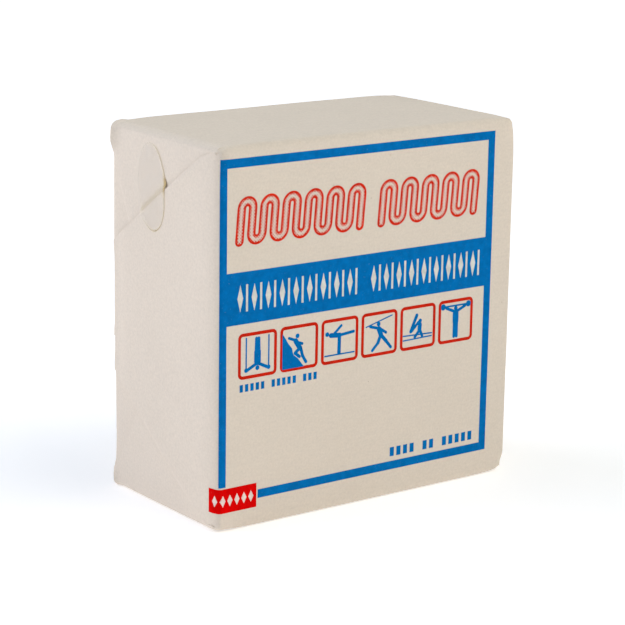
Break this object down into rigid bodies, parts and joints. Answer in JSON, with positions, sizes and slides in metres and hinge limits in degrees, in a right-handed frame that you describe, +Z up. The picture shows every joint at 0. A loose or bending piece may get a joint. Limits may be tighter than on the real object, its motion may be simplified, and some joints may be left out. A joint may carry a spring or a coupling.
{
  "type": "gymnastics chalk block",
  "caption": "Pressed rectangular chalk block wrapped in printed paper, with a lapped back seam, folded end flaps and an oval film seal on each end.",
  "frame": {"origin": "centre of the base, on the surface that the block stands on", "axes": "+Z up, +X to the right along the printed front face, -Y out of the printed front face"},
  "size_m": [0.0702, 0.0362, 0.0715],
  "materials": {
    "paper": "matte",
    "chalk": "matte",
    "film": "gloss",
    "paste": "matte"
  },
  "bodies": {
    "wrapped_block": {"chalk_block": "chalk", "wrapper_sleeve": "paper", "seam_paste_line": "paste"},
    "left_front": {"left_front_flap": "paper", "left_seal": "film"},
    "left_top": {"left_top_flap": "paper"},
    "left_bottom": {"left_bottom_flap": "paper"},
    "left_back": {"left_back_flap": "paper"},
    "right_front": {"right_front_flap": "paper", "right_seal": "film"},
    "right_top": {"right_top_flap": "paper"},
    "right_bottom": {"right_bottom_flap": "paper"},
    "right_back": {"right_back_flap": "paper"}
  },
  "joints": [
    {"name": "left_front_flap_fold", "type": "hinge", "parent": "wrapped_block", "child": "left_front", "pos_m": [-0.03494, -0.01809, 0.03575], "axis": [0, 0, 1], "range_deg": [0, 150]},
    {"name": "left_top_flap_fold", "type": "hinge", "parent": "wrapped_block", "child": "left_top", "pos_m": [-0.03467, 0, 0.07144], "axis": [0, 1, 0], "range_deg": [0, 90]},
    {"name": "left_bottom_flap_fold", "type": "hinge", "parent": "wrapped_block", "child": "left_bottom", "pos_m": [-0.03467, 0, 0.00006], "axis": [0, -1, 0], "range_deg": [0, 90]},
    {"name": "left_back_flap_fold", "type": "hinge", "parent": "wrapped_block", "child": "left_back", "pos_m": [-0.0344, 0.01809, 0.03575], "axis": [0, 0, -1], "range_deg": [0, 60]},
    {"name": "right_front_flap_fold", "type": "hinge", "parent": "wrapped_block", "child": "right_front", "pos_m": [0.03494, -0.01809, 0.03575], "axis": [0, 0, -1], "range_deg": [0, 150]},
    {"name": "right_top_flap_fold", "type": "hinge", "parent": "wrapped_block", "child": "right_top", "pos_m": [0.03467, 0, 0.07144], "axis": [0, -1, 0], "range_deg": [0, 90]},
    {"name": "right_bottom_flap_fold", "type": "hinge", "parent": "wrapped_block", "child": "right_bottom", "pos_m": [0.03467, 0, 0.00006], "axis": [0, 1, 0], "range_deg": [0, 90]},
    {"name": "right_back_flap_fold", "type": "hinge", "parent": "wrapped_block", "child": "right_back", "pos_m": [0.0344, 0.01809, 0.03575], "axis": [0, 0, 1], "range_deg": [0, 60]}
  ],
  "couplings": [
    {"joint": "left_top_flap_fold", "follows": "left_front_flap_fold", "ratio": 0.6},
    {"joint": "left_bottom_flap_fold", "follows": "left_front_flap_fold", "ratio": 0.6},
    {"joint": "left_back_flap_fold", "follows": "left_front_flap_fold", "ratio": 0.4},
    {"joint": "right_top_flap_fold", "follows": "right_front_flap_fold", "ratio": 0.6},
    {"joint": "right_bottom_flap_fold", "follows": "right_front_flap_fold", "ratio": 0.6},
    {"joint": "right_back_flap_fold", "follows": "right_front_flap_fold", "ratio": 0.4}
  ]
}
